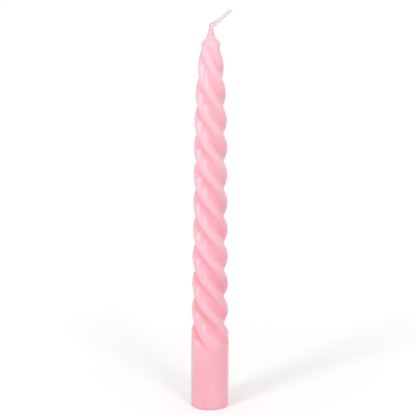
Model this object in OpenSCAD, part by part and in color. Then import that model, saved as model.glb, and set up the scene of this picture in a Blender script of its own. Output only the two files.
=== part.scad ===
// Spiral taper candle: an undyed wax core, a dyed coat dipped over it and a plaited cotton wick.
// The origin is the centre of the butt face, +Z runs up the candle, and the wick leans towards +X.

/* [Body] */
// Diameter of the plain round butt that stands in a holder
butt_diameter = 23; // [20:0.5:26]
// Length of wax from the butt face to the place where the wick comes out
wax_length = 234; // [180:1:300]
// Length of the plain round butt below the grooves
butt_length = 36; // [22:1:45]
// Radius of the rounded rim around the butt face
rim_round = 0.8; // [0.4:0.1:1.5]

/* [Spiral] */
// Number of lobes that wind around the candle
lobe_count = 4; // [3:1:6]
// Height in which one lobe goes once round the candle
spiral_lead = 67.4; // [50:0.1:110]
// Direction in which the lobes climb
spiral_hand = "left"; // [left, right]
// Angle from +X of the first groove at the top of the butt
start_angle = 88; // [0:0.5:90]
// Depth of a groove below the crest of a lobe of the full diameter
groove_depth = 3.3; // [2:0.1:4.2]
// Fullness of the lobes: a higher value gives rounder backs and narrower grooves
lobe_fullness = 2.25; // [1.8:0.05:2.8]
// Rounding of a groove's bottom as a share of half a lobe, from nearly a crease to a broad trough
groove_round_share = 0.8; // [0.2:0.1:1.5]
// Height over which a groove deepens above the butt
run_out = 20; // [12:1:36]

/* [Tip] */
// Diameter over the lobes at the shoulder below the tip
shoulder_diameter = 11.8; // [10.6:0.1:14]
// Height of the rounded shoulder and the nipple together
tip_length = 11; // [9:0.5:15]
// Thickness of the wax around the wick where the wick comes out
nipple_wall = 0.2; // [0.15:0.05:0.6]

/* [Coat] */
// Thickness of the dyed coat over the core
coat_thickness = 1.2; // [0.8:0.1:1.5]

/* [Wick] */
// Diameter of the wick
wick_diameter = 2.2; // [1.6:0.1:2.6]
// Height that the wick stands straight above the wax
wick_rise = 0.6; // [0.3:0.1:2]
// Angle from upright of the bent stub
wick_lean = 52; // [5:1:80]
// Radius of the bend along the middle of the wick
wick_bend_radius = 1.6; // [1.5:0.1:4]
// Length of the straight stub past the bend
wick_stub = 14.6; // [6:0.2:25]

/* [Hidden] */

// Length that a cutting shape runs past the faces it cuts, and the twisted shapes into the butt
overrun = 1;
// Sides of the true cylinders, which the export turns into exact surfaces
$fn = 96;

butt_radius = butt_diameter / 2;
core_radius = butt_radius - coat_thickness;
shoulder_radius = shoulder_diameter / 2;
wick_radius = wick_diameter / 2;
nipple_radius = wick_radius + nipple_wall;

shoulder_height = wax_length - tip_length;
spiral_height = shoulder_height - butt_length;
groove_share = groove_depth / butt_radius;
spiral_sense = spiral_hand == "left" ? -1 : 1;

// Crest of the lobes between the butt and the shoulder: share of the height, then share of the
// way from the shoulder radius (0) to the butt radius (1)
body_shares = [
    [0, 0.992], [0.03, 0.985], [0.09, 0.945], [0.15, 0.925], [0.35, 0.865], [0.55, 0.795],
    [0.75, 0.712], [0.82, 0.625], [0.89, 0.49], [0.95, 0.285], [1, 0.07]
];
// Shoulder and nipple: share of the tip length, then share of the way from the nipple radius (0)
// to the shoulder radius (1)
tip_shares = [
    [0.12, 0.99], [0.22, 0.93], [0.32, 0.72], [0.42, 0.42], [0.52, 0.28],
    [0.65, 0.2], [0.8, 0.11], [1, 0]
];
// Heights between which the grooves die out, as shares of the tip length from the shoulder up
groove_end_shares = [-0.25, 0.3];
// Where the core starts to close under the shoulder and where it ends, as shares of the tip length
core_close_share = -0.15;
core_end_share = 0.22;

// Outline of the crest as [height, radius] points
crest_points = concat(
    [for (p = body_shares) [
        butt_length + spiral_height * p[0],
        shoulder_radius + (butt_radius - shoulder_radius) * p[1]]],
    [for (p = tip_shares) [
        shoulder_height + tip_length * p[0],
        nipple_radius + (shoulder_radius - nipple_radius) * p[1]]]
);

core_close_height = shoulder_height + tip_length * core_close_share;
core_end_height = shoulder_height + tip_length * core_end_share;
core_end_radius = wick_radius + coat_thickness;

// Columns of facets along each lobe, and the spacing of the rings up the candle as a share of the lead
coat_columns = 10;
core_columns = 6;
coat_ring_share = 1 / 25;
core_ring_share = 1 / 21;
// Rings on the rounded shoulder and nipple of the coat, and on the closing end of the core
tip_rings = 16;
core_end_rings = 6;

// Sides of the stub, steps round its bend and the rings of its rounded end
stub_sides = 12;
bend_steps = 5;
round_steps = 4;

// Slope of a curve through points at point i
function slope_at(points, i) =
    let (a = max(i - 1, 0), b = min(i + 1, len(points) - 1))
    (points[b][1] - points[a][1]) / (points[b][0] - points[a][0]);

// Radius at height z on a smooth curve through [height, radius] points
function curve_at(points, z) =
    let (
        i = max([for (k = [0 : len(points) - 2]) if (k == 0 || points[k][0] <= z) k]),
        step = points[i + 1][0] - points[i][0],
        s = min(max((z - points[i][0]) / step, 0), 1)
    )
    points[i][1] * (2 * s^3 - 3 * s^2 + 1) + slope_at(points, i) * step * (s^3 - 2 * s^2 + s)
    + points[i + 1][1] * (3 * s^2 - 2 * s^3) + slope_at(points, i + 1) * step * (s^3 - s^2);

// Smooth rise from 0 to 1 as z goes from low to high
function ease(z, low, high) =
    let (s = min(max((z - low) / (high - low), 0), 1))
    s * s * (3 - 2 * s);

// Angle of the first groove at height z
function twist_at(z) = start_angle + spiral_sense * 360 * (z - butt_length) / spiral_lead;

// How deep the grooves are at height z, from 0 on the butt and the nipple to 1 between them
function groove_fade(z) =
    ease(z, butt_length, butt_length + run_out)
    * (1 - ease(z, shoulder_height + tip_length * groove_end_shares[0],
                shoulder_height + tip_length * groove_end_shares[1]));

// Distance from the middle of a groove with its bottom rounded off, so that it starts out level
function trough(distance) = sqrt(distance^2 + groove_round_share^2) - groove_round_share;

// How far the surface sinks across a lobe: across runs from 0 in one groove to 1 in the next, and
// the result from 1 in a groove to 0 on the crest
function sink(across) =
    pow(max(1 - trough(1 - abs(2 * across - 1)) / trough(1), 0), lobe_fullness);

// Radius of the coat at height z and a place across a lobe
function coat_radius_at(z, across) =
    curve_at(crest_points, z) * (1 - groove_share * groove_fade(z) * sink(across));

// Radius of the core: one coat inside the surface, rounding in to a small flat at its top end
function core_radius_at(z, across) =
    let (
        s = min(max((z - core_close_height) / (core_end_height - core_close_height), 0), 1),
        closing = 1 - sqrt(1 - s * s)
    )
    (coat_radius_at(z, across) - coat_thickness) * (1 - closing) + core_end_radius * closing;

// Heights from low to high in equal steps no longer than step
function heights(low, high, step) =
    let (count = ceil((high - low) / step))
    [for (i = [0 : count]) low + (high - low) * i / count];

coat_heights = concat(
    heights(butt_length - overrun, shoulder_height, spiral_lead * coat_ring_share),
    [for (i = [1 : tip_rings]) shoulder_height + tip_length * i / tip_rings]
);
// The rings of the closing end gather where the end turns in fastest
core_heights = concat(
    heights(butt_length - overrun, core_close_height, spiral_lead * core_ring_share),
    [for (i = [1 : core_end_rings])
        core_close_height + (core_end_height - core_close_height) * sin(90 * i / core_end_rings)]
);

// One ring of the twisted surface, its columns starting in the first groove
function ring_points(z, columns, core) = [
    for (i = [0 : lobe_count * columns - 1])
        let (
            across = (i % columns) / columns,
            radius = core ? core_radius_at(z, across) : coat_radius_at(z, across),
            angle = twist_at(z) + 360 * i / (lobe_count * columns)
        )
        [radius * cos(angle), radius * sin(angle), z]
];

// Closed solid through a stack of rings with the same number of points, counted anticlockwise
module loft(rings, slant) {
    sides = len(rings[0]);
    last = len(rings) - 1;
    corners = [for (r = rings) each r];
    walls = [
        for (k = [0 : last - 1]) for (i = [0 : sides - 1])
            let (
                a = k * sides + i,
                b = k * sides + (i + 1) % sides,
                c = b + sides,
                d = a + sides
            )
            each slant ? [[a, d, b], [b, d, c]] : [[a, d, c], [a, c, b]]
    ];
    ends = [
        [for (i = [0 : sides - 1]) i],
        [for (i = [0 : sides - 1]) last * sides + sides - 1 - i]
    ];
    polyhedron(corners, concat(walls, ends), convexity = 6);
}

// Round butt with its rounded lower rim
module butt_solid() {
    rotate_extrude() {
        square([butt_radius - rim_round, butt_length]);
        translate([0, rim_round]) square([butt_radius, butt_length - rim_round]);
        translate([butt_radius - rim_round, rim_round]) circle(r = rim_round);
    }
}

// Everything inside the coat, which starts the depth below the butt face
module core_solid(below) {
    translate([0, 0, -below]) cylinder(r = core_radius, h = butt_length + below);
    loft([for (z = core_heights) ring_points(z, core_columns, true)], spiral_sense < 0);
}

module wick_channel() {
    translate([0, 0, -overrun]) cylinder(r = wick_radius, h = wax_length + 2 * overrun);
}

// Undyed core, as lobed as the candle itself
module wax_core() {
    color("ivory")
    difference() {
        core_solid(0);
        wick_channel();
    }
}

// Dyed coat: a sleeve over the whole core that closes above it and holds the wick in the nipple
module dyed_coat() {
    color("pink")
    difference() {
        union() {
            butt_solid();
            loft([for (z = coat_heights) ring_points(z, coat_columns, false)], spiral_sense < 0);
        }
        core_solid(overrun);
        wick_channel();
    }
}

// Middle of the stub as [x, z, lean, radius share] stations, from the exit to the rounded end
stub_start = wax_length + wick_rise;
bend_end = [
    wick_bend_radius * (1 - cos(wick_lean)),
    stub_start + wick_bend_radius * sin(wick_lean)
];
stub_stations = concat(
    [[0, wax_length, 0, 1]],
    [for (i = [0 : bend_steps])
        let (lean = wick_lean * i / bend_steps)
        [wick_bend_radius * (1 - cos(lean)), stub_start + wick_bend_radius * sin(lean), lean, 1]],
    [for (i = [0 : round_steps - 1])
        let (
            turn = 90 * i / round_steps,
            run = wick_stub - wick_radius * (1 - sin(turn))
        )
        [bend_end[0] + run * sin(wick_lean), bend_end[1] + run * cos(wick_lean), wick_lean, cos(turn)]]
);

function stub_ring(station) = [
    for (i = [0 : stub_sides - 1])
        let (
            turn = 360 * i / stub_sides,
            out = wick_radius * station[3] * cos(turn),
            side = wick_radius * station[3] * sin(turn)
        )
        [station[0] + out * cos(station[2]), side, station[1] - out * sin(station[2])]
];

// Wick: straight through the candle from the butt face, then bent over above the nipple
module wick() {
    color("whitesmoke") {
        cylinder(r = wick_radius, h = wax_length);
        loft([for (s = stub_stations) stub_ring(s)], false);
    }
}

wax_core();
dyed_coat();
wick();
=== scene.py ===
"""Spiral taper candle: dyed coat, undyed core and plaited wick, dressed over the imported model."""

import logging
import math
from collections.abc import Sequence
from dataclasses import dataclass
from enum import Enum
from functools import cached_property

import bpy
from mathutils import Matrix, Vector


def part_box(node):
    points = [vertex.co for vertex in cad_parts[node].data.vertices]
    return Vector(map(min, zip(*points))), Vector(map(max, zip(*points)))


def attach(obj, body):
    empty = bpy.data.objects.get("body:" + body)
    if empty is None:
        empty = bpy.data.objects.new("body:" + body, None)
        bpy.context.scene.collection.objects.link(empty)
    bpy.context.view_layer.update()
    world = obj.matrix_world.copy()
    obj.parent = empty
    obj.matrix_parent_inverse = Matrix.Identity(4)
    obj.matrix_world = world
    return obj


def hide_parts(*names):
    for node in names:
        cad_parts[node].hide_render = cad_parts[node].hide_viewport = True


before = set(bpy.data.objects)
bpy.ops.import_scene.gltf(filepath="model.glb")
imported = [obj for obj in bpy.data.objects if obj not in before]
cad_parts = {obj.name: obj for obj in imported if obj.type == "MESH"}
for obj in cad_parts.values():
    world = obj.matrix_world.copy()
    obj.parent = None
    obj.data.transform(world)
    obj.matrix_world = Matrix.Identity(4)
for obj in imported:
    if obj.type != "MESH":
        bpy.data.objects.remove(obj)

LOG = logging.getLogger("candle")
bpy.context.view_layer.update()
MM = 0.001
BODY = "root"

Socket = bpy.types.NodeSocket
Value = float | int | Socket
Pair = tuple[float, float]
Point = tuple[float, float, float]
Colour = tuple[float, float, float, float]
WHITE: Colour = (1.0, 1.0, 1.0, 1.0)

FLOAT = "NodeSocketFloat"
WHOLE = "NodeSocketInt"
GEOMETRY = "NodeSocketGeometry"
MATERIAL = "NodeSocketMaterial"
# A Mix node has sockets of one name for each kind of data, so its colours are found by place.
MIX_FACTOR, MIX_FIRST, MIX_SECOND, MIX_RESULT = 0, 6, 7, 2
# So are the lowest number and the result of a Random Value node.
RANDOM_LOW, RANDOM_RESULT = 2, 1


class Hand(Enum):
    """The way that the lobes climb around the candle."""

    LEFT = -1
    RIGHT = 1


def rgb(red: int, green: int, blue: int) -> Colour:
    """Turn a screen colour of 0 to 255 into the linear colour that a shader takes.

    Args:
        red: Red level on screen.
        green: Green level on screen.
        blue: Blue level on screen.

    Returns:
        The linear colour with an alpha of 1.
    """
    def linear(level: int) -> float:
        """Undo the sRGB curve for one channel."""
        share = level / 255
        return share / 12.92 if share <= 0.04045 else ((share + 0.055) / 1.055) ** 2.4

    return (linear(red), linear(green), linear(blue), 1.0)


def blend_curve(points: Sequence[Pair], at: float) -> float:
    """Read a smooth curve that runs through points of rising first value.

    Args:
        points: Pairs of place and value.
        at: The place to read.

    Returns:
        The value there.
    """
    def slope(index: int) -> float:
        """Find the slope at one point from its two neighbours.

        Args:
            index: The point's number.

        Returns:
            The slope.
        """
        low = points[max(index - 1, 0)]
        high = points[min(index + 1, len(points) - 1)]
        return (high[1] - low[1]) / (high[0] - low[0])

    index = max(k for k in range(len(points) - 1) if k == 0 or points[k][0] <= at)
    step = points[index + 1][0] - points[index][0]
    s = min(max((at - points[index][0]) / step, 0.0), 1.0)
    return (
        points[index][1] * (2 * s**3 - 3 * s**2 + 1)
        + slope(index) * step * (s**3 - 2 * s**2 + s)
        + points[index + 1][1] * (3 * s**2 - 2 * s**3)
        + slope(index + 1) * step * (s**3 - s**2)
    )


def quarter_turns(steps: int) -> list[float]:
    """Angles of a quarter circle in equal steps, with both ends."""
    return [math.pi / 2 * i / steps for i in range(steps + 1)]


def add_object(name: str, data: bpy.types.ID) -> bpy.types.Object:
    """Add an object to the scene.

    Args:
        name: The object's name.
        data: Its mesh, curve, lamp or camera.

    Returns:
        The object, at the origin.
    """
    made = bpy.data.objects.new(name, data)
    bpy.context.scene.collection.objects.link(made)
    return made


class Canvas:
    """A node tree that is wired up by short calls."""

    def __init__(self, tree: bpy.types.NodeTree) -> None:
        """Wrap a node tree."""
        self.tree = tree

    def node(self, kind: str, **settings: object) -> bpy.types.Node:
        """Add a node and set its properties.

        Args:
            kind: The node's Blender type.
            settings: Properties to set on it.

        Returns:
            The new node.
        """
        made = self.tree.nodes.new(kind)
        for name, value in settings.items():
            setattr(made, name, value)
        return made

    def feed(self, socket: Socket, value: object) -> None:
        """Link a socket to another one, or give it a plain value.

        Args:
            socket: The input to fill.
            value: An output socket or a value.
        """
        if isinstance(value, bpy.types.NodeSocket):
            self.tree.links.new(value, socket)
        else:
            socket.default_value = value

    def wire(self, node: bpy.types.Node, **values: object) -> bpy.types.Node:
        """Feed several inputs of a node by name, with underscores for spaces.

        Args:
            node: The node to wire.
            values: Input names and what goes into them.

        Returns:
            The same node.
        """
        for name, value in values.items():
            self.feed(node.inputs[name.replace("_", " ")], value)
        return node

    def derive(self, kind: str, **values: object) -> Socket:
        """Add a node that needs no settings, wire it and return its first output."""
        return self.wire(self.node(kind), **values).outputs[0]

    def line_up(self, kind: str, operation: str, values: Sequence[object]) -> bpy.types.Node:
        """Add a node with an operation and feed its inputs in order.

        Args:
            kind: The node's Blender type.
            operation: Its operation.
            values: Its inputs in order.

        Returns:
            The new node.
        """
        made = self.node(kind, operation=operation)
        for socket, value in zip(made.inputs, values):
            self.feed(socket, value)
        return made

    def math(self, operation: str, *values: Value) -> Socket:
        """Add a Math node and return its output."""
        return self.line_up("ShaderNodeMath", operation, values).outputs[0]

    def vector_math(self, operation: str, *values: object) -> Socket:
        """Add a Vector Math node and return its vector, or its value for LENGTH."""
        made = self.line_up("ShaderNodeVectorMath", operation, values)
        return made.outputs["Value" if operation == "LENGTH" else "Vector"]

    def scale(self, vector: Socket, factor: Value) -> Socket:
        """Multiply a vector by a number and return the vector."""
        made = self.line_up("ShaderNodeVectorMath", "SCALE", [vector])
        return self.wire(made, Scale=factor).outputs["Vector"]

    def combine(self, x: Value, y: Value, z: Value) -> Socket:
        """Make a vector from three numbers."""
        return self.derive("ShaderNodeCombineXYZ", X=x, Y=y, Z=z)

    def separate(self, vector: Socket) -> tuple[Socket, Socket, Socket]:
        """Split a vector into its three numbers."""
        made = self.wire(self.node("ShaderNodeSeparateXYZ"), Vector=vector)
        return made.outputs["X"], made.outputs["Y"], made.outputs["Z"]

    def ramp(
        self, value: Value, low: Value, high: Value, start: Value = 0.0, end: Value = 1.0
    ) -> Socket:
        """Ease from start to end as value goes from low to high.

        Args:
            value: What is read.
            low: Where the rise begins.
            high: Where the rise ends.
            start: The result at low.
            end: The result at high.

        Returns:
            The eased number.
        """
        made = self.node("ShaderNodeMapRange", interpolation_type="SMOOTHSTEP")
        self.wire(made, Value=value, From_Min=low, From_Max=high, To_Min=start, To_Max=end)
        return made.outputs["Result"]

    def noise(
        self, vector: Socket, scale: Value, detail: Value, dimensions: str = "3D", **more: Value
    ) -> Socket:
        """Add a Noise Texture.

        Args:
            vector: Where it is read.
            scale: Grains per metre.
            detail: Number of finer layers.
            dimensions: 3D, or 4D for noise with a seed, which goes in as W.
            more: Other inputs by name.

        Returns:
            The noise, from 0 to 1.
        """
        made = self.node("ShaderNodeTexNoise", noise_dimensions=dimensions)
        return self.wire(made, Vector=vector, Scale=scale, Detail=detail, **more).outputs[0]

    def mix_colour(self, factor: Value, first: object, second: object) -> Socket:
        """Mix two colours.

        Args:
            factor: Share of the second colour.
            first: A colour or a socket.
            second: A colour or a socket.

        Returns:
            The mixed colour.
        """
        made = self.node("ShaderNodeMix", data_type="RGBA")
        self.feed(made.inputs[MIX_FACTOR], factor)
        self.feed(made.inputs[MIX_FIRST], first)
        self.feed(made.inputs[MIX_SECOND], second)
        return made.outputs[MIX_RESULT]


class GroupCanvas(Canvas):
    """A node group with named inputs and outputs."""

    def __init__(self, name: str, tree_type: str) -> None:
        """Start an empty group.

        Args:
            name: The group's name.
            tree_type: GeometryNodeTree or ShaderNodeTree.
        """
        super().__init__(bpy.data.node_groups.new(name, tree_type))
        self.source = self.node("NodeGroupInput")
        self.result = self.node("NodeGroupOutput")
        self.identifiers: dict[str, str] = {}

    def take(self, name: str, default: object = None, kind: str = FLOAT) -> Socket:
        """Add a named input.

        Args:
            name: The input's name.
            default: Its default value.
            kind: Its socket type.

        Returns:
            The input as a socket inside the group.
        """
        item = self.tree.interface.new_socket(name, in_out="INPUT", socket_type=kind)
        if default is not None:
            item.default_value = default
        self.identifiers[name] = item.identifier
        return self.source.outputs[name]

    def give(self, name: str, value: Socket, kind: str = FLOAT) -> None:
        """Add a named output.

        Args:
            name: The output's name.
            value: What comes out of it.
            kind: Its socket type.
        """
        self.tree.interface.new_socket(name, in_out="OUTPUT", socket_type=kind)
        self.feed(self.result.inputs[name], value)

    def give_mesh(self, name: str, mesh: Socket, material: Socket) -> None:
        """Shade a mesh smooth, realize it, dress it and give it out.

        Args:
            name: The output's name.
            mesh: The mesh.
            material: Its material.
        """
        smooth = self.derive("GeometryNodeSetShadeSmooth", Geometry=mesh)
        real = self.derive("GeometryNodeRealizeInstances", Geometry=smooth)
        dressed = self.derive("GeometryNodeSetMaterial", Geometry=real, Material=material)
        self.give(name, dressed, GEOMETRY)

    def store(self, geometry: Socket, name: str, value: Socket) -> Socket:
        """Store a number at each point under a name, and return the geometry."""
        made = self.node("GeometryNodeStoreNamedAttribute", data_type="FLOAT", domain="POINT")
        return self.wire(made, Geometry=geometry, Name=name, Value=value).outputs[0]

    def recall(self, name: str) -> Socket:
        """Read the number that is stored under a name."""
        made = self.node("GeometryNodeInputNamedAttribute", data_type="FLOAT")
        return self.wire(made, Name=name).outputs[0]


class MaterialCanvas(Canvas):
    """A new material with its Principled shader."""

    def __init__(self, name: str) -> None:
        """Start the material.

        Args:
            name: The material's name.
        """
        self.material = bpy.data.materials.new(name)
        self.material.use_nodes = True
        super().__init__(self.material.node_tree)
        self.shader = self.tree.nodes["Principled BSDF"]

    def place(self) -> Socket:
        """Read the place on the object, in metres."""
        return self.node("ShaderNodeTexCoord").outputs["Object"]

    def mark(self, name: str) -> Socket:
        """Read the number that the mesh stores under a name."""
        return self.node("ShaderNodeAttribute", attribute_name=name).outputs["Fac"]

    def relief(self, height: Socket, strength: float, depth: float) -> None:
        """Roughen the surface by a height that varies over it.

        Args:
            height: The height, from 0 to 1.
            strength: How strongly it shows.
            depth: The height of 1 in metres.
        """
        bump = self.wire(self.node("ShaderNodeBump"), Strength=strength, Distance=depth, Height=height)
        self.feed(self.shader.inputs["Normal"], bump.outputs["Normal"])


def grow(
    source: bpy.types.Object, group: GroupCanvas, inputs: dict[str, object], name: str
) -> bpy.types.Object:
    """Run a Geometry Nodes group on an object and keep the result as a plain mesh piece.

    Args:
        source: The object whose geometry goes in; it is removed afterwards.
        group: The group to run.
        inputs: Values for its named inputs.
        name: The name of the new piece.

    Returns:
        The new piece, at the origin.
    """
    modifier = source.modifiers.new("grow", "NODES")
    modifier.node_group = group.tree
    for label, value in inputs.items():
        modifier[group.identifiers[label]] = value
    graph = bpy.context.evaluated_depsgraph_get()
    mesh = bpy.data.meshes.new_from_object(source.evaluated_get(graph))
    source.modifiers.remove(modifier)
    bpy.data.objects.remove(source)
    mesh.name = name
    return add_object(name, mesh)


def settle(piece: bpy.types.Object, node: str) -> None:
    """Tie a finished piece to the candle's body and hide the CAD part that it replaces.

    Args:
        piece: The finished piece.
        node: The CAD node that it replaces.
    """
    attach(piece, BODY)
    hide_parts(node)


@dataclass(frozen=True)
class CandleSizes:
    """Real sizes of the candle, in metres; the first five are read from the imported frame.

    The grooves run out over a shorter height than in the solids, because here they lift out to a
    point, and there they only grow shallow.
    """

    butt_radius: float
    core_radius: float
    core_height: float
    wax_length: float
    wick_radius: float
    butt_length: float = 36 * MM
    rim_round: float = 0.8 * MM
    spiral_lead: float = 67.4 * MM
    hand: Hand = Hand.LEFT
    lobes: int = 4
    start_angle: float = math.radians(88)
    groove_depth: float = 3.3 * MM
    fullness: float = 2.25
    crease_round: float = 0.8
    run_out: float = 15 * MM
    shoulder_radius: float = 5.9 * MM
    tip_length: float = 11 * MM
    nipple_wall: float = 0.2 * MM
    wick_rise: float = 0.6 * MM
    wick_lean: float = math.radians(52)
    wick_bend: float = 1.6 * MM
    wick_stub: float = 14.6 * MM
    body_shares: tuple[Pair, ...] = (
        (0, 0.992), (0.03, 0.985), (0.09, 0.945), (0.15, 0.925), (0.35, 0.865), (0.55, 0.795),
        (0.75, 0.712), (0.82, 0.625), (0.89, 0.49), (0.95, 0.285), (1, 0.07),
    )
    tip_shares: tuple[Pair, ...] = (
        (0.12, 0.99), (0.22, 0.93), (0.32, 0.72), (0.42, 0.42), (0.52, 0.28),
        (0.65, 0.2), (0.8, 0.11), (1, 0),
    )
    groove_end_shares: Pair = (-0.25, 0.3)

    @classmethod
    def from_frame(cls) -> "CandleSizes":
        """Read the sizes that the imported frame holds.

        Returns:
            The sizes of the candle.
        """
        coat, core, wick = (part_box(name)[1] for name in ("dyed_coat", "wax_core", "wick"))
        return cls(
            butt_radius=coat[0],
            core_radius=core[0],
            core_height=core[2],
            wax_length=coat[2],
            wick_radius=wick[1],
        )

    @cached_property
    def coat_thickness(self) -> float:
        """Thickness of the dyed coat."""
        return self.butt_radius - self.core_radius

    @cached_property
    def shoulder_height(self) -> float:
        """Height of the shoulder under the tip."""
        return self.wax_length - self.tip_length

    @cached_property
    def crest_points(self) -> list[Pair]:
        """Work out the line over the crests, from the top of the butt to the nipple.

        Returns:
            Pairs of height and radius.
        """
        rise = self.shoulder_height - self.butt_length
        spread = self.butt_radius - self.shoulder_radius
        nipple = self.wick_radius + self.nipple_wall
        neck = self.shoulder_radius - nipple
        body = [
            (self.butt_length + rise * at, self.shoulder_radius + spread * share)
            for at, share in self.body_shares
        ]
        tip = [
            (self.shoulder_height + self.tip_length * at, nipple + neck * share)
            for at, share in self.tip_shares
        ]
        return body + tip

    def crest_radius(self, height: float) -> float:
        """Radius over the crests at one height."""
        return blend_curve(self.crest_points, height)


def wax_bloom_group() -> GroupCanvas:
    """Build the mottling that both waxes share: soft clouding, a fine grain and faint dip runs.

    Returns:
        The shader group, with the outputs Cloud, Grain and Height.
    """
    group = GroupCanvas("WaxBloom", "ShaderNodeTree")
    cloud_size = group.take("Cloud Size", 12 * MM)
    cloud_stretch = group.take("Cloud Stretch", 1.6)
    cloud_low = group.take("Cloud Low", 0.35)
    cloud_high = group.take("Cloud High", 0.7)
    grain_size = group.take("Grain Size", 0.7 * MM)
    grain_share = group.take("Grain Share", 0.25)
    run_size = group.take("Run Size", 1.6 * MM)
    run_stretch = group.take("Run Stretch", 9.0)
    run_share = group.take("Run Share", 0.75)
    fineness = group.take("Fineness", 0.55)
    lead = group.take("Lead", 67.4 * MM)
    foot = group.take("Twist Foot", 36 * MM)
    place = group.node("ShaderNodeTexCoord").outputs["Object"]
    climb = group.math("MAXIMUM", group.math("SUBTRACT", group.separate(place)[2], foot), 0.0)
    wound = group.math("MULTIPLY", group.math("DIVIDE", climb, lead), math.tau)
    turned = group.node("ShaderNodeVectorRotate", rotation_type="Z_AXIS")
    x, y, z = group.separate(group.wire(turned, Vector=place, Angle=wound).outputs[0])

    def layer(size: Socket, stretch: Value, detail: float) -> Socket:
        """Noise of one grain size, drawn out along the lobes."""
        drawn = group.combine(x, y, group.math("DIVIDE", z, stretch))
        return group.noise(drawn, group.math("DIVIDE", 1.0, size), detail, Roughness=fineness)

    cloud = layer(cloud_size, cloud_stretch, detail=3.0)
    grain = layer(grain_size, 1.0, detail=4.0)
    runs = layer(run_size, run_stretch, detail=2.0)
    group.give("Cloud", group.ramp(cloud, cloud_low, cloud_high))
    group.give("Grain", grain)
    raised = group.math("MULTIPLY", runs, run_share)
    group.give("Height", group.math("MULTIPLY_ADD", grain, grain_share, raised))
    return group


@dataclass(frozen=True)
class WaxFinish:
    """Finish of a wax: soft gloss over colour that light sinks into."""

    name: str
    crest: Colour
    # groove: painted shade, a darker and more saturated colour laid into the grooves in place of the
    # shade that gathers between the lobes.
    groove: Colour
    tip: Colour
    paling: float
    tip_share: float
    butt_share: float
    bloom: Colour
    clouding: float
    roughness: Pair
    scatter: float
    scatter_depth: float
    scatter_spread: Point
    coat: float
    coat_roughness: float
    bump: float
    # The share of the painted groove shade that is left at the shoulder, reached over the run below it.
    groove_shade_at_shoulder: float = 1.0
    shade_fade_run: float = 35 * MM
    grain_window: Pair = (0.3, 0.7)
    relief_depth: float = 0.12 * MM
    ior: float = 1.45

    def material(self, bloom: GroupCanvas, sizes: CandleSizes) -> bpy.types.Material:
        """Build the material, with painted shade in the grooves, and a colour that grows paler up to
        the shoulder and less pale again above it.

        Args:
            bloom: The shared mottling group.
            sizes: The candle's sizes, for the heights where the colour changes.

        Returns:
            The material.
        """
        canvas = MaterialCanvas(self.name)
        mottle = canvas.node("ShaderNodeGroup", node_tree=bloom.tree)
        canvas.wire(mottle, Lead=sizes.spiral_lead, Twist_Foot=sizes.butt_length)
        height = canvas.separate(canvas.place())[2]
        foot, shoulder = sizes.butt_length, sizes.shoulder_height
        # Painted shade: the groove mark, fading towards the shoulder, mixes the darker groove colour
        # into the crests' colour.
        shade_fade_from = shoulder - self.shade_fade_run
        shade_fading = canvas.ramp(height, shade_fade_from, shoulder, 1.0, self.groove_shade_at_shoulder)
        depth = canvas.math("MULTIPLY", canvas.mark("groove"), shade_fading)
        # The butt also takes a share of that darker colour, which fades out over the run-out above the
        # butt.
        butt_deepening = canvas.ramp(height, foot, foot + sizes.run_out, self.butt_share, 0.0)
        hollow = canvas.math("MAXIMUM", depth, butt_deepening)
        colour = canvas.mix_colour(hollow, self.crest, self.groove)
        paling = canvas.ramp(height, 0.0, shoulder, 0.0, self.paling)
        filling = canvas.ramp(height, shoulder, sizes.wax_length, 1.0, self.tip_share)
        colour = canvas.mix_colour(canvas.math("MULTIPLY", paling, filling), colour, self.tip)
        clouding = canvas.math("MULTIPLY", mottle.outputs["Cloud"], self.clouding)
        canvas.wire(
            canvas.shader,
            Base_Color=canvas.mix_colour(clouding, colour, self.bloom),
            Roughness=canvas.ramp(mottle.outputs["Grain"], *self.grain_window, *self.roughness),
            IOR=self.ior,
            Coat_Weight=self.coat,
            Coat_Roughness=self.coat_roughness,
            Subsurface_Weight=self.scatter,
            Subsurface_Scale=self.scatter_depth,
            Subsurface_Radius=self.scatter_spread,
        )
        canvas.shader.subsurface_method = "BURLEY"
        canvas.relief(mottle.outputs["Height"], self.bump, self.relief_depth)
        return canvas.material


@dataclass(frozen=True)
class CottonFinish:
    """Finish of the plaited cotton: matt yarn with a little wax soaked into it.

    The scales of its fibres and patches are counts per metre.
    """

    name: str
    light: Colour
    shade: Colour
    soaked: Colour
    roughness: float
    bump: float
    patch_roughness: float = 0.9
    soaked_roughness: float = 0.4
    fibre_scale: float = 6500.0
    patch_scale: float = 900.0
    patch_window: Pair = (0.3, 0.7)
    patch_share: float = 0.4
    yarn_share: float = 0.5
    relief_depth: float = 0.05 * MM
    sheen: float = 0.25

    def material(self) -> bpy.types.Material:
        """Build the material.

        Returns:
            The material.
        """
        canvas = MaterialCanvas(self.name)
        place = canvas.place()
        fibre = canvas.noise(place, self.fibre_scale, detail=3.0)
        patch = canvas.noise(place, self.patch_scale, detail=2.0)
        lie = canvas.math("MULTIPLY", canvas.mark("yarn"), self.yarn_share)
        shade = canvas.math("MULTIPLY_ADD", patch, self.patch_share, lie)
        soak = canvas.mark("soak")
        cotton = canvas.mix_colour(shade, self.light, self.shade)
        matt = canvas.ramp(patch, *self.patch_window, self.roughness, self.patch_roughness)
        canvas.wire(
            canvas.shader,
            Base_Color=canvas.mix_colour(soak, cotton, self.soaked),
            Roughness=canvas.ramp(soak, 0.0, 1.0, matt, self.soaked_roughness),
            Sheen_Weight=self.sheen,
        )
        canvas.relief(fibre, self.bump, self.relief_depth)
        return canvas.material


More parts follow.
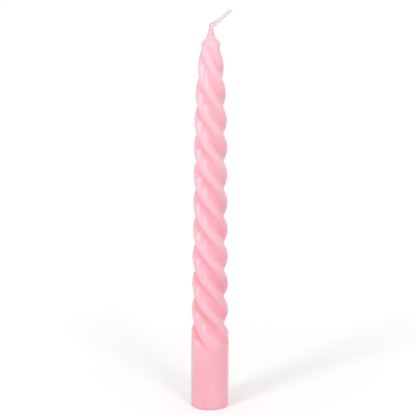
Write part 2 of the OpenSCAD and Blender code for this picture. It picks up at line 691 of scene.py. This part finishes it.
def twisted_lathe() -> GroupCanvas:
    """Build the tree that winds lobes around an outline.

    The object's own points are the outline: x is the radius over the crests, y how far the wall
    lies inside that surface, and z the height.

    Returns:
        The geometry group.
    """
    group = GroupCanvas("TwistedLathe", "GeometryNodeTree")
    outline = group.take("Outline", kind=GEOMETRY)
    lobes = group.take("Lobes", 4, WHOLE)
    columns = group.take("Columns", 144, WHOLE)
    lead = group.take("Lead", 67.4 * MM)
    sense = group.take("Sense", -1.0)
    start = group.take("Start Angle", 0.0)
    foot = group.take("Groove Foot", 36 * MM)
    run_out = group.take("Run Out", 15 * MM)
    lift_blend = group.take("Lift Blend", 0.3)
    edge_blend = group.take("Edge Blend", 0.05)
    least_depth = group.take("Least Shade Depth", 0.3)
    fade_low = group.take("Fade Low", 220 * MM)
    fade_high = group.take("Fade High", 226 * MM)
    share = group.take("Groove Share", 0.3)
    fullness = group.take("Fullness", 2.25)
    softness = group.take("Crease Round", 0.8)
    wave_depth = group.take("Wave Depth", 0.12 * MM)
    wave_size = group.take("Wave Size", 6 * MM)
    wave_detail = group.take("Wave Detail", 2.0)
    calm_inset = group.take("Calm Inset", 0.1 * MM)
    seed = group.take("Seed", 7.0)
    material = group.take("Material", kind=MATERIAL)

    count = group.wire(
        group.node("GeometryNodeAttributeDomainSize", component="MESH"), Geometry=outline
    )
    last = group.math("SUBTRACT", count.outputs["Point Count"], 1)
    wall = group.node("GeometryNodeMeshCylinder", fill_type="TRIANGLE_FAN")
    group.wire(wall, Vertices=columns, Side_Segments=last, Radius=1.0, Depth=1.0)

    # The unit cylinder reaches from -0.5 to 0.5, so its rings count up from 0 to the last.
    x, y, z = group.separate(group.derive("GeometryNodeInputPosition"))
    around = group.math("ARCTAN2", y, x)
    reach = group.math("SQRT", group.math("MULTIPLY_ADD", x, x, group.math("MULTIPLY", y, y)))
    ring = group.math("ROUND", group.math("MULTIPLY", group.math("ADD", z, 0.5), last))
    sample = group.node("GeometryNodeSampleIndex", data_type="FLOAT_VECTOR", domain="POINT")
    on_outline = group.derive("GeometryNodeInputPosition")
    group.wire(sample, Geometry=outline, Value=on_outline, Index=ring)
    crest, inset, height = group.separate(sample.outputs[0])

    # From here on the groove's profile: 1 along the crease between two lobes, 0 on their crests.
    spacing = group.math("DIVIDE", lobes, math.tau)
    across = group.math("FRACT", group.math("MULTIPLY", around, spacing))
    from_crest = group.math("ABSOLUTE", group.math("MULTIPLY_ADD", across, 2.0, -1.0))
    from_crease = group.math("SUBTRACT", 1.0, from_crest)
    square = group.math("MULTIPLY", softness, softness)

    def rounded(distance: Value) -> Socket:
        """Distance from the crease, with the crease rounded off."""
        length = group.math("SQRT", group.math("MULTIPLY_ADD", distance, distance, square))
        return group.math("SUBTRACT", length, softness)

    rise = group.math("DIVIDE", rounded(from_crease), rounded(1.0))
    side = group.math("MAXIMUM", group.math("SUBTRACT", 1.0, rise), 0.0)
    hollow = group.math("POWER", side, fullness)
    # Near the butt the lift is taken off that profile, so a groove narrows to a point as it ends.
    climb = group.math("DIVIDE", group.math("SUBTRACT", height, foot), run_out)
    lift = group.math("SMOOTH_MAX", group.math("SUBTRACT", 1.0, climb), 0.0, lift_blend)
    cut = group.math("SMOOTH_MAX", group.math("SUBTRACT", hollow, lift), 0.0, edge_blend)
    fade_out = group.ramp(height, fade_low, fade_high, 1.0, 0.0)
    groove = group.math("MULTIPLY", cut, fade_out)
    # The groove's share of its depth, kept whole where a groove narrows to its point, is stored as the
    # mark where the waxes paint shade into the grooves.
    deepest = group.math("MAXIMUM", group.math("SUBTRACT", 1.0, lift), least_depth)
    groove_shade_mask = group.math("DIVIDE", groove, deepest)
    keep = group.math("SUBTRACT", 1.0, group.math("MULTIPLY", groove, share))
    radius = group.math("SUBTRACT", group.math("MULTIPLY", crest, keep), inset)

    turn = group.math("DIVIDE", group.math("SUBTRACT", height, foot), lead)
    wound = group.math("MULTIPLY", group.math("MULTIPLY", turn, sense), math.tau)
    angle = group.math("ADD", group.math("ADD", around, start), wound)
    cosine = group.math("COSINE", angle)
    sine = group.math("SINE", angle)

    def out_at(distance: Socket) -> Socket:
        """Place on the wall at a distance from the axis."""
        x_at, y_at = (group.math("MULTIPLY", distance, part) for part in (cosine, sine))
        return group.combine(x_at, y_at, height)

    grains = group.math("DIVIDE", 1.0, wave_size)
    wave = group.noise(out_at(radius), grains, wave_detail, dimensions="4D", W=seed)
    calm = group.ramp(inset, 0.0, calm_inset, 1.0, 0.0)
    sunk = group.math("MULTIPLY", group.math("MULTIPLY", wave, wave_depth), calm)
    final = group.math("MULTIPLY", group.math("SUBTRACT", radius, sunk), reach)

    marked = group.store(wall.outputs["Mesh"], "groove", groove_shade_mask)
    placed = group.derive("GeometryNodeSetPosition", Geometry=marked, Position=out_at(final))
    group.give_mesh("Body", placed, material)
    return group


@dataclass
class SpiralBody:
    """A body of wax whose surface follows the lobes at some depth."""

    name: str
    node_name: str
    slot: str
    sizes: CandleSizes
    columns: int = 176
    ring_step: float = 0.5 * MM
    tip_step: float = 0.22 * MM
    hidden_step: float = 2 * MM
    wave_depth: float = 0.12 * MM
    wave_size: float = 6 * MM
    seed: float = 7.0
    crease_limit: float = math.radians(55)

    def outline(self) -> list[Point]:
        """Points of crest radius, depth inside the surface and height, from pole to pole."""
        raise NotImplementedError

    def levels(self, low: float, high: float, step: float) -> list[float]:
        """Heights in equal steps.

        Args:
            low: First height.
            high: Last height.
            step: The longest step allowed.

        Returns:
            The heights, with both ends.
        """
        count = math.ceil((high - low) / step)
        return [low + (high - low) * i / count for i in range(count + 1)]

    def build(self, lathe: GroupCanvas, material: bpy.types.Material) -> bpy.types.Object:
        """Wind the body, keep it as a mesh and tie it to the candle.

        Args:
            lathe: The tree that winds lobes around an outline.
            material: The wax.

        Returns:
            The finished piece.
        """
        sizes = self.sizes
        mesh = bpy.data.meshes.new(self.name + "_outline")
        points = self.outline()
        mesh.from_pydata(points, [(i, i + 1) for i in range(len(points) - 1)], [])
        fade_low, fade_high = (
            sizes.shoulder_height + sizes.tip_length * share for share in sizes.groove_end_shares
        )
        inputs = {
            "Lobes": sizes.lobes,
            "Columns": self.columns,
            "Lead": sizes.spiral_lead,
            "Sense": float(sizes.hand.value),
            "Start Angle": sizes.start_angle,
            "Groove Foot": sizes.butt_length,
            "Run Out": sizes.run_out,
            "Fade Low": fade_low,
            "Fade High": fade_high,
            "Groove Share": sizes.groove_depth / sizes.butt_radius,
            "Fullness": sizes.fullness,
            "Crease Round": sizes.crease_round,
            "Wave Depth": self.wave_depth,
            "Wave Size": self.wave_size,
            "Seed": self.seed,
            "Material": material,
        }
        piece = grow(add_object(self.name + "_outline", mesh), lathe, inputs, self.name)
        piece.data.set_sharp_from_angle(angle=self.crease_limit)
        settle(piece, self.node_name)
        return piece


@dataclass
class DyedCoat(SpiralBody):
    """The dyed sleeve, from the rounded rim of the butt to the nipple around the wick."""

    rim_steps: int = 6
    lip_steps: int = 3
    lip_round: float = 0.15 * MM
    seat_depth: float = 3 * MM

    def outline(self) -> list[Point]:
        """Walk down the inside, round the rim and up the outside.

        Returns:
            Points of radius over the crests, depth inside the surface and height.
        """
        sizes = self.sizes
        seat, radius, top = self.seat_depth, sizes.butt_radius, sizes.wax_length
        inside = [(sizes.core_radius, 0.0, z) for z in (seat, seat / 2, 0.0)]
        edge = sizes.rim_round
        rim = [
            (radius - edge * (1 - math.sin(turn)), 0.0, edge * (1 - math.cos(turn)))
            for turn in quarter_turns(self.rim_steps)
        ]
        butt = [(radius, 0.0, z) for z in self.levels(edge, sizes.butt_length, self.hidden_step)]
        heights = self.levels(sizes.butt_length, sizes.shoulder_height, self.ring_step)
        heights += self.levels(sizes.shoulder_height, top, self.tip_step)[1:-1]
        wall = [(sizes.crest_radius(z), 0.0, z) for z in heights]
        mouth, edge = sizes.crest_radius(top), self.lip_round
        lip = [
            (mouth - edge * (1 - math.cos(turn)), 0.0, top - edge * (1 - math.sin(turn)))
            for turn in quarter_turns(self.lip_steps)
        ]
        return inside + rim + butt[1:-1] + wall + lip


@dataclass
class WaxCore(SpiralBody):
    """The undyed core, one coat inside the surface."""

    close_share: float = -0.15
    end_steps: int = 8
    channel_depth: float = 2 * MM

    def outline(self) -> list[Point]:
        """Walk out of the wick's channel, across the butt and up under the coat.

        Returns:
            Points of radius over the crests, depth inside the surface and height.
        """
        sizes = self.sizes
        coat, channel = sizes.coat_thickness, sizes.wick_radius
        close = sizes.shoulder_height + sizes.tip_length * self.close_share
        points = [
            (channel, 0.0, self.channel_depth),
            (channel, 0.0, 0.0),
            (sizes.core_radius, 0.0, 0.0),
            (sizes.core_radius, 0.0, sizes.butt_length - self.ring_step),
        ]
        for height in self.levels(sizes.butt_length, close, self.hidden_step):
            points.append((sizes.crest_radius(height), coat, height))
        for turn in quarter_turns(self.end_steps)[1:]:
            share = math.sin(turn)
            height = close + (sizes.core_height - close) * share
            closing = 1 - math.sqrt(max(1 - share * share, 0.0))
            outer = sizes.crest_radius(height)
            inset = coat + (outer - coat - (channel + coat)) * closing
            points.append((outer, inset, height))
        return points


def plait_tree() -> GroupCanvas:
    """Build the tree that plaits three strands of twisted yarn along a curve in the XZ plane.

    Returns:
        The geometry group.
    """
    group = GroupCanvas("WickPlait", "GeometryNodeTree")
    route = group.take("Route", kind=GEOMETRY)
    strands = group.take("Strands", 3, WHOLE)
    yarns = group.take("Yarns", 5, WHOLE)
    pitch = group.take("Plait Pitch", 5.5 * MM)
    half_width = group.take("Half Width", 0.62 * MM)
    half_depth = group.take("Half Depth", 0.45 * MM)
    yarn_pitch = group.take("Yarn Pitch", 3 * MM)
    yarn_reach = group.take("Yarn Reach", 0.23 * MM)
    yarn_radius = group.take("Yarn Radius", 0.17 * MM)
    step = group.take("Step", 0.15 * MM)
    sides = group.take("Sides", 6, WHOLE)
    end_round = group.take("End Round", 1.2 * MM)
    end_gather = group.take("End Gather", 0.5)
    exit_run = group.take("Exit Run", 3 * MM)
    opening_share = group.take("Opening Share", 1.5)
    settle_share = group.take("Settle Share", 0.7)
    bulge = group.take("Bend Bulge", 0.0)
    loose = group.take("Loose Bulge", 0.0)
    depth_swell = group.take("Depth Swell", 0.4)
    girth_swell = group.take("Girth Swell", 0.8)
    tone_step = group.take("Tone Step", 0.37)
    soak_low = group.take("Soak Low", 3 * MM)
    soak_high = group.take("Soak High", 9 * MM)
    soaked_side = group.take("Soaked Side Share", -0.5)
    dry_side = group.take("Dry Side Share", 0.2)
    fray = group.take("Fray Share", 0.02)
    seed = group.take("Seed", 3, WHOLE)
    material = group.take("Material", kind=MATERIAL)

    even = group.wire(
        group.node("GeometryNodeResampleCurve", mode="LENGTH"), Curve=route, Length=step
    )
    copies = group.node("GeometryNodeDuplicateElements", domain="SPLINE")
    amount = group.math("MULTIPLY", strands, yarns)
    group.wire(copies, Geometry=even.outputs[0], Amount=amount)
    number = copies.outputs["Duplicate Index"]
    strand = group.math("FLOOR", group.math("DIVIDE", number, yarns))
    yarn = group.math("MODULO", number, yarns)

    run = group.node("GeometryNodeSplineParameter").outputs["Length"]
    tangent = group.derive("GeometryNodeInputTangent")
    across = group.vector_math("CROSS_PRODUCT", (0.0, 1.0, 0.0), tangent)

    def winding(length: Socket, index: Socket, count: Socket) -> Socket:
        """Angle wound along the run, for one of several that share the turn evenly."""
        turns = group.math("ADD", group.math("DIVIDE", run, length), group.math("DIVIDE", index, count))
        return group.math("MULTIPLY", turns, math.tau)

    phase = winding(pitch, strand, strands)
    out = group.math("MULTIPLY", group.math("SINE", phase), half_width)
    lift = group.math("MULTIPLY", group.math("SINE", group.math("MULTIPLY", phase, 2.0)), half_depth)
    lay = winding(yarn_pitch, yarn, yarns)
    # A strand of a single yarn has nothing to wind around, and so no reach.
    plied = group.math("GREATER_THAN", yarns, 1.0)
    reach = group.math("MULTIPLY", yarn_reach, plied)
    out = group.math("MULTIPLY_ADD", group.math("COSINE", lay), reach, out)
    lift = group.math("MULTIPLY_ADD", group.math("SINE", lay), reach, lift)

    total = group.node("GeometryNodeSplineLength").outputs["Length"]
    gather = group.ramp(run, group.math("SUBTRACT", total, end_round), total, 1.0, end_gather)
    opened = group.math("MULTIPLY_ADD", end_round, opening_share, exit_run)
    opening = group.ramp(run, exit_run, opened)
    settled_at = group.math("MULTIPLY", total, settle_share)
    settled = group.ramp(run, exit_run, settled_at, bulge, loose)
    swell = group.math("MULTIPLY", opening, settled)
    wide = group.math("MULTIPLY", out, group.math("ADD", swell, 1.0))
    deep = group.math("MULTIPLY", lift, group.math("MULTIPLY_ADD", swell, depth_swell, 1.0))
    spread = group.vector_math("ADD", group.scale(across, wide), group.combine(0.0, deep, 0.0))
    shift = group.scale(spread, gather)

    edge = group.math("ADD", half_width, yarn_reach)
    soaked_at = group.math("MULTIPLY", edge, soaked_side)
    dry_at = group.math("MULTIPLY", edge, dry_side)
    outer = group.ramp(out, soaked_at, dry_at, 1.0, 0.0)
    climbed = group.ramp(run, soak_low, soak_high, 1.0, 0.0)
    length = group.node("FunctionNodeRandomValue", data_type="FLOAT")
    group.wire(length, ID=number, Seed=seed)
    group.feed(length.inputs[RANDOM_LOW], group.math("SUBTRACT", 1.0, fray))
    marks = {
        "yarn": group.math("FRACT", group.math("MULTIPLY", number, tone_step)),
        "soak": group.math("MULTIPLY", outer, climbed),
        "cut": length.outputs[RANDOM_RESULT],
        "girth": group.math("MULTIPLY_ADD", swell, girth_swell, 1.0),
    }
    marked = copies.outputs[0]
    for name, value in marks.items():
        marked = group.store(marked, name, value)

    laid = group.derive("GeometryNodeSetPosition", Geometry=marked, Offset=shift)
    trimmed = group.wire(
        group.node("GeometryNodeTrimCurve", mode="FACTOR"), Curve=laid, End=group.recall("cut")
    )
    section = group.node("GeometryNodeCurvePrimitiveCircle", mode="RADIUS")
    group.wire(section, Resolution=sides, Radius=yarn_radius)
    tube = group.derive(
        "GeometryNodeCurveToMesh",
        Curve=trimmed.outputs[0],
        Profile_Curve=section.outputs[0],
        Fill_Caps=True,
        Scale=group.recall("girth"),
    )
    group.give_mesh("Plait", tube, material)
    return group


@dataclass
class Wick:
    """The plaited wick: buried through the wax, then bent over above the nipple."""

    sizes: CandleSizes
    slot: str = "cotton_wick"
    node_name: str = "wick"
    strand_radius: float = 0.57 * MM
    half_width: float = 0.5 * MM
    half_depth: float = 0.16 * MM
    plait_pitch: float = 7.6 * MM
    yarn_pitch: float = 3.2 * MM
    yarns: int = 6
    yarn_reach_share: float = 0.45
    yarn_radius_share: float = 0.57
    fine_step: float = 0.12 * MM
    fine_sides: int = 7
    plain_step: float = 0.6 * MM
    plain_sides: int = 8
    overlap: float = 3 * MM
    seam_overlap: float = 0.2 * MM
    bend_steps: int = 10
    stub_steps: int = 20
    end_round: float = 0.9 * MM
    end_inset: float = 0.38 * MM
    bend_bulge: float = 0.5
    loose_bulge: float = 0.26
    soak_rise: float = 5 * MM
    soak_reach: float = 8 * MM
    drops: tuple[Pair, ...] = (
        (0.0, 0.0), (0.12, 0.55 * MM), (0.35, 0.3 * MM), (0.65, 0.0), (1.0, 0.05 * MM),
    )

    def stations(self) -> list[Pair]:
        """Middle of the stub, which hangs low behind the bend and lifts towards its end.

        Returns:
            Points of x and z from inside the nipple to the end of the stub.
        """
        sizes = self.sizes
        foot = sizes.wax_length + sizes.wick_rise
        points = [(0.0, sizes.wax_length - self.overlap), (0.0, foot - sizes.wick_rise / 2)]
        for step in range(self.bend_steps + 1):
            lean = sizes.wick_lean * step / self.bend_steps
            x, z = sizes.wick_bend * (1 - math.cos(lean)), foot + sizes.wick_bend * math.sin(lean)
            points.append((x, z))
        across, along = math.cos(sizes.wick_lean), math.sin(sizes.wick_lean)
        for step in range(1, self.stub_steps + 1):
            share = step / self.stub_steps
            run = (sizes.wick_stub - self.end_inset) * share
            drop = blend_curve(self.drops, share)
            points.append((x + run * along + drop * across, z + run * across - drop * along))
        return points

    def curve(self, points: Sequence[Pair], name: str) -> bpy.types.Object:
        """Make a straight-legged curve through points in the XZ plane.

        Args:
            points: Pairs of x and z.
            name: The curve's name.

        Returns:
            The curve object.
        """
        data = bpy.data.curves.new(name, "CURVE")
        data.dimensions = "3D"
        spline = data.splines.new("POLY")
        spline.points.add(len(points) - 1)
        for point, (x, z) in zip(spline.points, points):
            point.co = (x, 0.0, z, 1.0)
        return add_object(name, data)

    def build(self, plait: GroupCanvas, material: bpy.types.Material) -> list[bpy.types.Object]:
        """Plait the stub and the buried length.

        Args:
            plait: The tree that plaits strands along a curve.
            material: The cotton.

        Returns:
            The stub and the buried length.
        """
        shared = {
            "Plait Pitch": self.plait_pitch,
            "Half Width": self.half_width,
            "Half Depth": self.half_depth,
            "Yarn Pitch": self.yarn_pitch,
            "Material": material,
        }
        fine = {
            "Yarns": self.yarns,
            "Yarn Reach": self.strand_radius * self.yarn_reach_share,
            "Yarn Radius": self.strand_radius * self.yarn_radius_share,
            "Step": self.fine_step,
            "Sides": self.fine_sides,
            "Exit Run": self.overlap,
            "End Round": self.end_round,
            "Bend Bulge": self.bend_bulge,
            "Loose Bulge": self.loose_bulge,
            "Soak Low": self.overlap + self.soak_rise,
            "Soak High": self.overlap + self.soak_reach,
        }
        plain = {
            "Yarns": 1,
            "Yarn Radius": self.strand_radius,
            "Step": self.plain_step,
            "Sides": self.plain_sides,
            "Soak High": 0.0,
        }
        top = self.sizes.wax_length - self.overlap + self.seam_overlap
        lengths = {
            "stub": (self.stations(), fine),
            "buried": ([(0.0, self.strand_radius), (0.0, top)], plain),
        }
        made = []
        for part, (points, inputs) in lengths.items():
            route = self.curve(points, part + "_route")
            made.append(grow(route, plait, shared | inputs, "wick_" + part))
            settle(made[-1], self.node_name)
        return made


@dataclass(frozen=True)
class FloorFinish:
    """Finish of the pale floor."""

    name: str = "pale_floor"
    colour: Colour = (0.78, 0.78, 0.78, 1.0)
    roughness: float = 0.9
    near_glow: float = 0.15
    far_glow: float = 0.34
    near_reach: float = 0.05
    far_reach: float = 0.5

    def material(self) -> bpy.types.Material:
        """Build the floor: matt white that the camera and mirror rays see a little brighter.

        Returns:
            The material.
        """
        canvas = MaterialCanvas(self.name)
        path = canvas.node("ShaderNodeLightPath").outputs
        seen = canvas.math("MAXIMUM", path["Is Camera Ray"], path["Is Glossy Ray"])
        away = canvas.vector_math("LENGTH", canvas.place())
        glow = canvas.ramp(away, self.near_reach, self.far_reach, self.near_glow, self.far_glow)
        canvas.wire(
            canvas.shader,
            Base_Color=self.colour,
            Roughness=self.roughness,
            Specular_IOR_Level=0.0,
            Emission_Color=WHITE,
            Emission_Strength=canvas.math("MULTIPLY", seen, glow),
        )
        return canvas.material


@dataclass(frozen=True)
class SoftBox:
    """One soft box: its size in metres, its power in watts, its place and its light's colour."""

    name: str
    size: Pair
    power: float
    place: Point
    colour: Point = (1.0, 1.0, 1.0)

    def hang(self, aim: Vector) -> None:
        """Hang the box in its place.

        Args:
            aim: The point that it faces.
        """
        data = bpy.data.lights.new(self.name, "AREA")
        data.shape = "RECTANGLE"
        data.size, data.size_y = self.size
        data.energy = self.power
        data.color = self.colour
        place = Vector(self.place)
        turn = (aim - place).to_track_quat("-Z", "Y").to_matrix().to_4x4()
        add_object(self.name, data).matrix_world = Matrix.Translation(place) @ turn


@dataclass
class Studio:
    """Floor, light and camera around the candle."""

    frame_px: int = 416
    sensor: float = 36.0
    focal_px: float = 2064.56
    clip: Pair = (0.05, 30.0)
    distance: float = 1.2
    camera_height: float = 0.43676
    pitch: float = 0.254414
    roll: float = math.radians(0.155)
    side_px: float = 2.4
    room_glow: float = 0.82
    room_shine: float = 0.86
    aim_height: float = 0.12
    boxes: tuple[SoftBox, ...] = (
        SoftBox("left_box", (0.28, 0.45), 5.2, (-0.72, -0.8, 0.93), (1.0, 0.985, 0.92)),
        SoftBox("right_box", (0.32, 0.32), 3.8, (0.45, -0.95, 0.95), (1.0, 0.91, 0.94)),
        SoftBox("top_box", (1.4, 0.8), 0.2, (-0.1, -0.75, 1.3)),
    )
    floor_half: float = 6.0
    floor_drop: float = 0.02 * MM

    def floor(self) -> None:
        """Lay the pale floor just under the butt face."""
        half = self.floor_half
        mesh = bpy.data.meshes.new("floor")
        corners = [(-half, -half), (half, -half), (half, half), (-half, half)]
        mesh.from_pydata([(x, y, -self.floor_drop) for x, y in corners], [], [(0, 1, 2, 3)])
        mesh.materials.append(FloorFinish().material())
        add_object("floor", mesh)

    def camera(self) -> None:
        """Stand the camera where the photo was taken from, with its framing."""
        data = bpy.data.cameras.new("camera")
        data.sensor_width = self.sensor
        data.lens = self.focal_px * self.sensor / self.frame_px
        data.clip_start, data.clip_end = self.clip
        made = add_object("camera", data)
        aside = -self.side_px * self.distance / self.focal_px
        made.matrix_world = (
            Matrix.Translation((aside, -self.distance, self.camera_height))
            @ Matrix.Rotation(math.pi / 2 - self.pitch, 4, "X")
            @ Matrix.Rotation(self.roll, 4, "Z")
        )
        bpy.context.scene.camera = made

    def light(self) -> None:
        """Hang the soft boxes around the candle in a pale room."""
        for box in self.boxes:
            box.hang(Vector((0.0, 0.0, self.aim_height)))
        world = bpy.data.worlds.new("room")
        world.use_nodes = True
        canvas = Canvas(world.node_tree)
        path = canvas.node("ShaderNodeLightPath").outputs
        lit = canvas.ramp(path["Is Glossy Ray"], 0.0, 1.0, self.room_glow, self.room_shine)
        strength = canvas.ramp(path["Is Camera Ray"], 0.0, 1.0, lit, 1.0)
        canvas.wire(world.node_tree.nodes["Background"], Color=WHITE, Strength=strength)
        bpy.context.scene.world = world
        bpy.context.scene.view_settings.view_transform = "Standard"

    def build(self) -> None:
        """Set up floor, camera and light."""
        self.floor()
        self.camera()
        self.light()
        LOG.info("studio: floor, camera and %d soft boxes", len(self.boxes))


DYED_WAX = WaxFinish(
    name="dyed_wax",
    crest=rgb(237, 172, 187),
    # Painted shade in the grooves.
    groove=rgb(242, 149, 165),
    tip=rgb(238, 219, 226),
    paling=0.27,
    tip_share=0.45,
    butt_share=0.2,
    bloom=rgb(252, 206, 214),
    clouding=0.22,
    roughness=(0.24, 0.31),
    scatter=0.35,
    scatter_depth=3 * MM,
    scatter_spread=(1.0, 0.4, 0.4),
    coat=0.12,
    coat_roughness=0.29,
    bump=0.12,
    groove_shade_at_shoulder=0.4,
)
UNDYED_WAX = WaxFinish(
    name="undyed_wax",
    crest=rgb(244, 238, 228),
    # Painted shade in the grooves.
    groove=rgb(238, 230, 218),
    tip=rgb(246, 241, 232),
    paling=0.4,
    tip_share=1.0,
    butt_share=0.0,
    bloom=rgb(252, 251, 248),
    clouding=0.45,
    roughness=(0.42, 0.55),
    scatter=0.6,
    scatter_depth=4 * MM,
    scatter_spread=(1.0, 0.8, 0.6),
    coat=0.1,
    coat_roughness=0.3,
    bump=0.6,
)
COTTON = CottonFinish(
    name="cotton_wick",
    light=rgb(220, 219, 219),
    shade=rgb(213, 212, 212),
    soaked=rgb(218, 186, 194),
    roughness=0.7,
    bump=0.15,
)


def main() -> None:
    """Build the candle piece by piece and light it."""
    logging.basicConfig(level=logging.INFO, format="%(name)s: %(message)s")
    sizes = CandleSizes.from_frame()
    Studio().build()
    bloom = wax_bloom_group()
    lathe = twisted_lathe()
    dyed = DYED_WAX.material(bloom, sizes)
    undyed = UNDYED_WAX.material(bloom, sizes)
    pieces = [
        DyedCoat("candle_coat", "dyed_coat", "dyed_wax", sizes).build(lathe, dyed),
        WaxCore("candle_core", "wax_core", "undyed_wax", sizes, columns=96).build(lathe, undyed),
        *Wick(sizes).build(plait_tree(), COTTON.material()),
    ]
    for piece in pieces:
        LOG.info("%s: %d faces", piece.name, len(piece.data.polygons))


if __name__ == "__main__":
    main()
